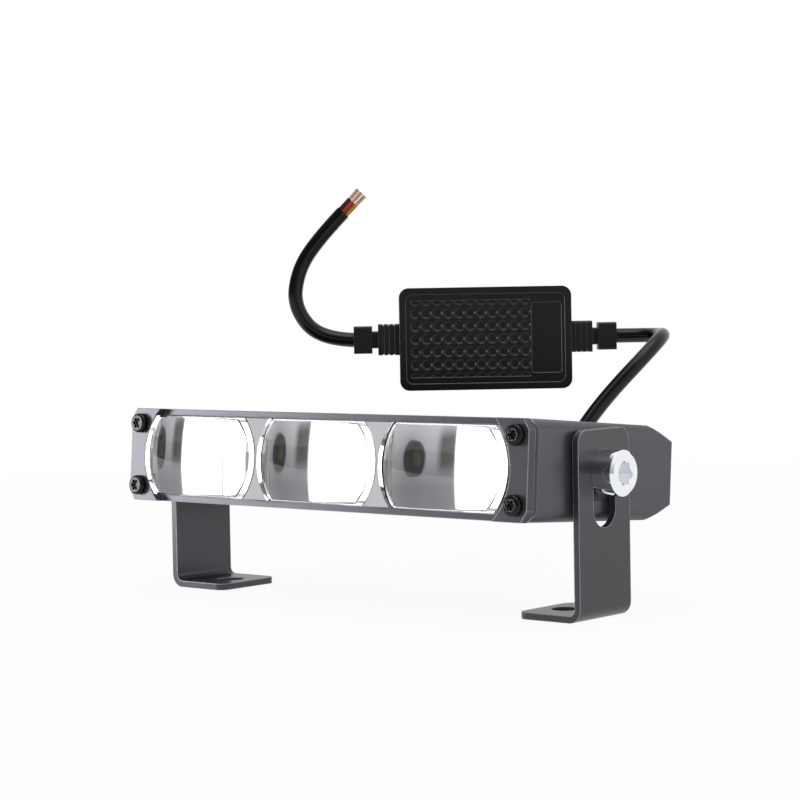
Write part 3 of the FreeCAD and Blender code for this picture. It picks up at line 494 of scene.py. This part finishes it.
fade = add(tree, "ShaderNodeMapRange", {"Value": away, "From Min": SHADOW_REACH, "From Max": WHITE_FROM,
                                        "To Min": NEAR_WHITE, "To Max": 1.0}).outputs["Result"]
lift = add(tree, "ShaderNodeMath", {0: seen_directly(tree), 1: fade}, operation="MULTIPLY").outputs[0]
soft = add(tree, "ShaderNodeMixShader", {"Fac": lift, 1: paper, 2: white}).outputs["Shader"]
add(tree, "ShaderNodeOutputMaterial", {"Surface": soft})
floor_mesh.materials.append(floor_material)
print("floor is", 2 * FLOOR_HALF, "m wide")

# %% [markdown]
# ## World: a white room
# The room is white to the camera. It is calmer for the soft light that falls on the lamp,
# so the dark metal keeps its shape. Mirrors and lenses see it white as well, except in front of the lamp,
# where it is shaded so that black stays black behind a lens.

# %% World
WORLD_FILL = 0.45
FRONT_SHADE = 0.15
LENS_SHADE = 0.4
TO_FRONT = (-0.34, -0.94, 0.0)
SHADE_STARTS = -0.1
SHADE_FULL = 0.5
world = bpy.data.worlds.new("white_room")
scene.world = world
world.use_nodes = True
tree = world.node_tree
tree.nodes.clear()
path = add(tree, "ShaderNodeLightPath").outputs
toward = add(tree, "ShaderNodeTexCoord").outputs["Generated"]
facing = add(tree, "ShaderNodeVectorMath", {0: toward, 1: TO_FRONT}, operation="DOT_PRODUCT").outputs["Value"]
shade = add(tree, "ShaderNodeMath",
            {0: path["Is Transmission Ray"], 1: LENS_SHADE - FRONT_SHADE, 2: FRONT_SHADE},
            operation="MULTIPLY_ADD").outputs[0]
mirrored = add(tree, "ShaderNodeMapRange", {"Value": facing, "From Min": SHADE_STARTS, "From Max": SHADE_FULL,
                                            "To Min": 1.0, "To Max": shade},
               interpolation_type="SMOOTHSTEP").outputs["Result"]
bounced = add(tree, "ShaderNodeMath", {0: path["Is Glossy Ray"], 1: path["Is Transmission Ray"]},
              operation="MAXIMUM").outputs[0]
fill = add(tree, "ShaderNodeMix", {"Factor": bounced, "A": WORLD_FILL, "B": mirrored},
           data_type="FLOAT").outputs["Result"]
room = add(tree, "ShaderNodeMix", {"Factor": path["Is Camera Ray"], "A": fill, "B": 1.0},
           data_type="FLOAT").outputs["Result"]
back = add(tree, "ShaderNodeBackground", {"Color": linear("#ffffff"), "Strength": room}).outputs["Background"]
add(tree, "ShaderNodeOutputWorld", {"Surface": back})
print("world:", world.name)

# %% [markdown]
# ## Lights
# A near soft light stands front left, so the front faces shine at the left end and fall away to the right.
# One hangs overhead for the general light, a faint one behind right gives the lamp's end some shape,
# and one reaches the far bracket.
# Light linking gives each light a collection of pieces that it lights. The clear lenses are left out,
# because they would mirror every softbox as a hard white square.


# %% Softboxes
def softbox(name, place, aim, size, power, lights):
    """A square area light that faces a point and lights one collection."""
    data = bpy.data.lights.new(name, "AREA")
    data.size = size
    data.energy = power
    light = bpy.data.objects.new(name, data)
    scene.collection.objects.link(light)
    light.location = place
    light.rotation_euler = (Vector(aim) - Vector(place)).to_track_quat("-Z", "Y").to_euler()
    light.light_linking.receiver_collection = lights
    return light


def group(name, pieces):
    """A collection of pieces for one light."""
    collection = bpy.data.collections.new(name)
    for piece in pieces:
        collection.objects.link(piece)
    return collection


# %% Hang the lights
OPTICS = (*each("lens_", LENSES), "reflector_tray", "led_board")
opaque = group("opaque_pieces", [piece for piece in scene.objects
                                 if piece.type in ("MESH", "CURVE") and piece.name not in OPTICS])
metal = group("metal_and_plastic", [node for name, node in nodes.items()
                                    if not name.startswith("lens_") and name not in OPTICS])
ends = group("ends", [nodes[name] for name in each("bracket_", SIDES) + each("end_cap_", SIDES)])
shaded = group("shaded_bracket", [nodes["bracket_left"]])

softbox("softbox_left", place=(-0.30, -0.24, 0.06), aim=(-0.08, -0.03, 0.04),
        size=0.14, power=0.78, lights=metal)
softbox("softbox_top", place=(0.1, -0.2, 1.0), aim=(0.0, 0.0, 0.04), size=0.9, power=5.0, lights=opaque)
softbox("softbox_right", place=(0.34, 0.27, 0.07), aim=(0.08, 0.0, 0.04),
        size=0.12, power=0.05, lights=ends)
low = softbox("softbox_low", place=(0.25, -0.35, 0.05), aim=(-0.08, 0.0, 0.02),
              size=0.2, power=1.5, lights=shaded)
low.visible_glossy = False
